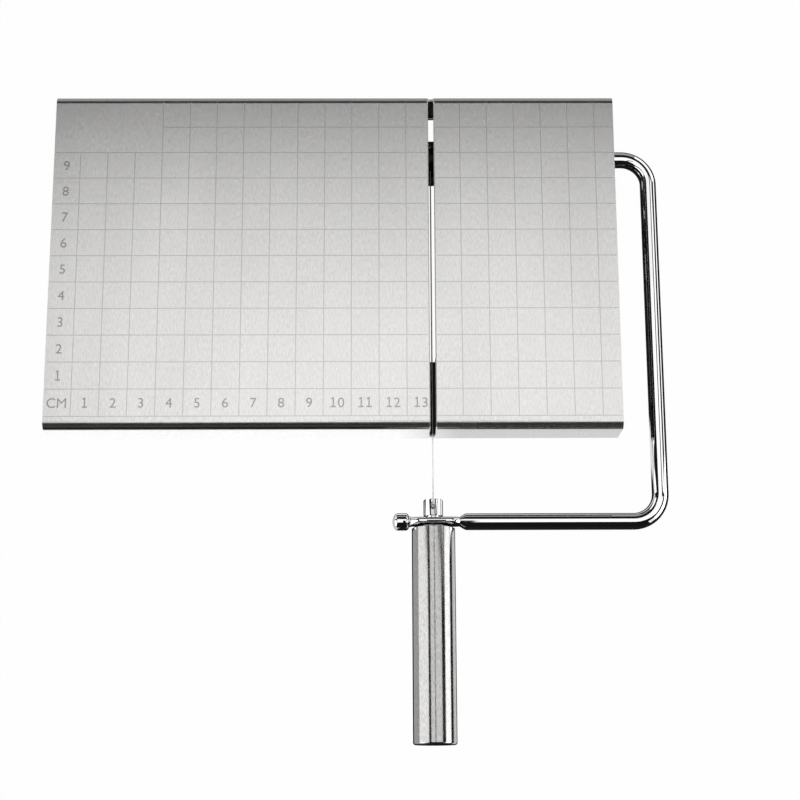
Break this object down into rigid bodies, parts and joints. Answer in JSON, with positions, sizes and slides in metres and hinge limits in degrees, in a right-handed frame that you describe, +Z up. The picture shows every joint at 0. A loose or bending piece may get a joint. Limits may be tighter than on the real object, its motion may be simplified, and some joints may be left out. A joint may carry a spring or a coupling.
{
  "type": "wire butter slicer",
  "caption": "Low folded-steel cutting board with a slot across it and a hinged bow arm whose handle lowers a taut slicing wire through the slot.",
  "frame": {"origin": "on the table, under the centre of the whole slicer's footprint with the arm lowered", "axes": "+X along the board to its slotted end, +Y from the handle to the board's rear, +Z up"},
  "size_m": [0.2239, 0.2372, 0.02],
  "materials": {
    "deck_steel": "fine straight brushing from front to rear",
    "handle_steel": "brushed along its length",
    "polished_steel": "mirror polished stainless steel",
    "wire_steel": "drawn stainless wire",
    "fastener_steel": "plain stainless steel",
    "black_nylon": "moulded black nylon",
    "white_acetal": "natural white acetal",
    "black_rubber": "soft matt rubber"
  },
  "bodies": {
    "board": {"deck_plate": "deck_steel", "front_bridge": "black_nylon", "pivot_block": "black_nylon", "outer_bearing": "black_nylon", "pivot_bushes": "white_acetal", "outer_bush": "white_acetal", "weld_studs": "fastener_steel", "stud_nuts": "fastener_steel", "feet": "black_rubber"},
    "arm": {"arm_rod": "polished_steel", "wire_hub": "black_nylon", "clip_thrust_washer": "white_acetal", "retaining_clip": "fastener_steel", "slicing_wire": "wire_steel", "rear_ball": "wire_steel", "front_ball": "wire_steel"},
    "stud": {"tension_stud": "polished_steel"},
    "handle": {"handle_shell": "handle_steel", "handle_nut": "handle_steel", "handle_cap": "handle_steel"}
  },
  "joints": [
    {"name": "arm_lift", "type": "hinge", "parent": "board", "child": "arm", "pos_m": [0.02715, 0.0976, 0.008], "axis": [-1, 0, 0], "range_deg": [0, 150]},
    {"name": "handle_spin", "type": "hinge", "parent": "arm", "child": "handle", "pos_m": [0.02715, -0.0423, 0.008], "axis": [0, -1, 0], "range_deg": [0, 1080]},
    {"name": "stud_draw", "type": "slide", "parent": "arm", "child": "stud", "axis": [0, 1, 0], "range_m": [0, 0.0024]}
  ],
  "couplings": [
    {"joint": "stud_draw", "follows": "handle_spin", "m_per_rad": 0.00012732}
  ]
}
